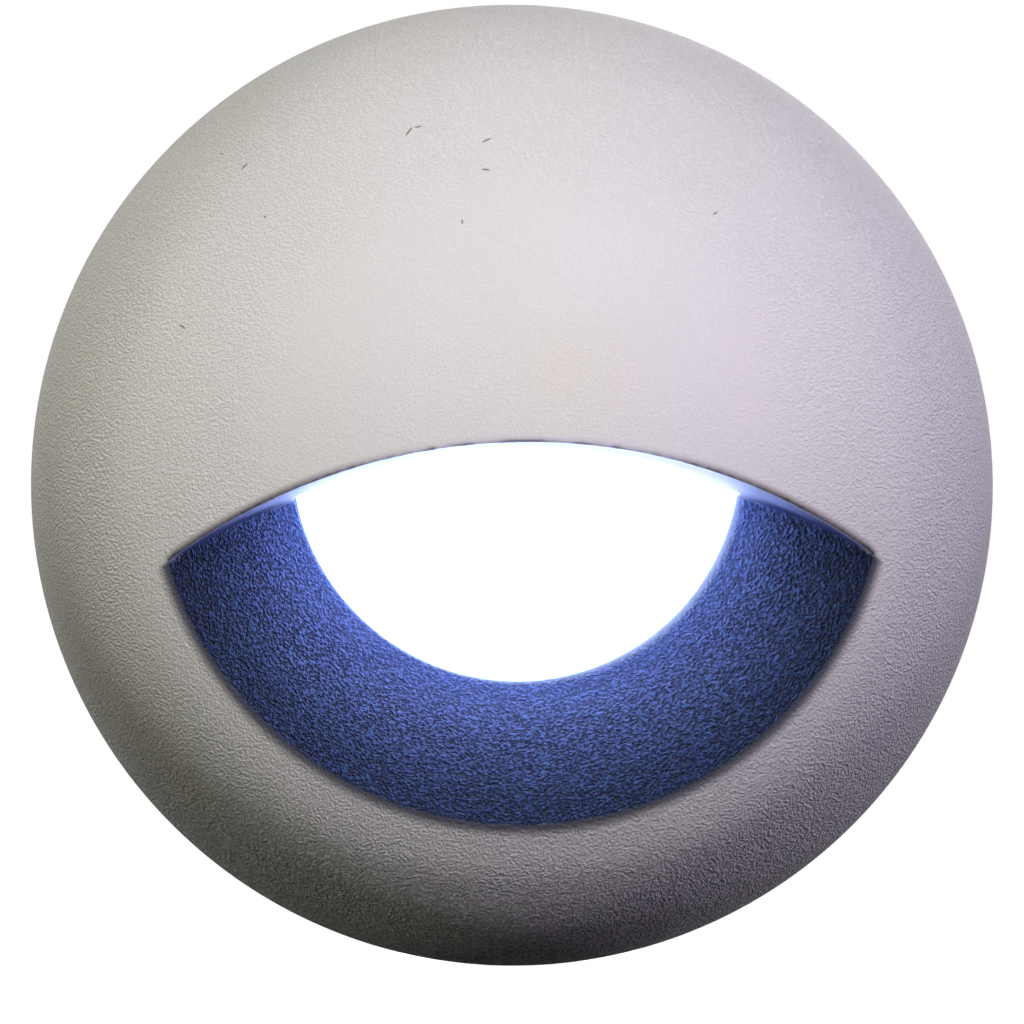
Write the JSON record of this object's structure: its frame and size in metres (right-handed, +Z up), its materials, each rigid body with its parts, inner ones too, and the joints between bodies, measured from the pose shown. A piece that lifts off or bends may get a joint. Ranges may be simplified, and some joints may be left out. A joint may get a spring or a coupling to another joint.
{
  "type": "deck light",
  "caption": "Round hooded deck light: a domed, textured white face that turns on a plug-in barrel, with a frosted window in a conical recess under the hood.",
  "frame": {"origin": "where the barrel's axis meets the wall plane, which is the rear face of the wall gasket", "axes": "-Y is the way the face looks, +Y runs along the barrel into the wall, +Z is up towards the hood, +X is to the right of someone facing the light"},
  "size_m": [0.032, 0.0274, 0.032],
  "materials": {
    "textured_coat": "fine textured powder coat, warm white",
    "frosted_window": "frosted, lit from behind",
    "gasket_silicone": "matt black silicone",
    "black_nylon": "moulded, satin",
    "seal_rubber": "smooth nitrile",
    "spring_steel": "bright spring wire",
    "turned_aluminium": "turned, bead blasted and anodised",
    "foam_rubber": "closed-cell foam",
    "grip_silicone": "matt silicone",
    "white_reflector": "white reflector plastic",
    "led_body": "white ceramic package",
    "led_gel": "clear gel, glowing",
    "white_board": "metal core under white solder mask",
    "screw_steel": "stainless",
    "chip_black": "black over ceramic",
    "thermal_rubber": "soft filled silicone",
    "red_insulation": "extruded insulation",
    "black_insulation": "extruded insulation",
    "natural_nylon": "turned nylon",
    "solder": "bright solder",
    "green_board": "glass epoxy under green mask",
    "moulded_epoxy": "moulded epoxy",
    "ferrite": "pressed ferrite",
    "tantalum_case": "moulded ochre case",
    "gold_plate": "plated copper",
    "black_resin": "moulded, fine grain",
    "grommet_rubber": "moulded rubber"
  },
  "bodies": {
    "housing": {"housing": "turned_aluminium", "wall_gasket": "foam_rubber", "grip_sleeve": "grip_silicone", "light_cup": "white_reflector", "led_packages": "led_body", "led_windows": "led_gel", "led_board": "white_board", "board_screws": "screw_steel", "board_resistors": "chip_black", "thermal_pad": "thermal_rubber", "lead_positive": "red_insulation", "lead_negative": "black_insulation", "lead_bushes": "natural_nylon", "solder_joints": "solder", "driver_board": "green_board", "driver_screws": "screw_steel", "bridge_rectifier": "moulded_epoxy", "inductor": "ferrite", "driver_chip": "moulded_epoxy", "smoothing_capacitor": "tantalum_case", "driver_resistors": "chip_black", "feed_pads": "gold_plate", "rear_cap": "black_resin", "rear_o_ring": "seal_rubber", "cable_grommet": "grommet_rubber"},
    "cap": {"hood_cap": "textured_coat", "lens": "frosted_window", "lens_gasket": "gasket_silicone", "lens_retainer": "black_nylon", "cap_o_ring": "seal_rubber", "snap_ring": "spring_steel"}
  },
  "joints": [
    {"name": "cap_turn", "type": "hinge", "parent": "housing", "child": "cap", "pos_m": [0, 0, 0], "axis": [0, 1, 0], "continuous": true}
  ]
}
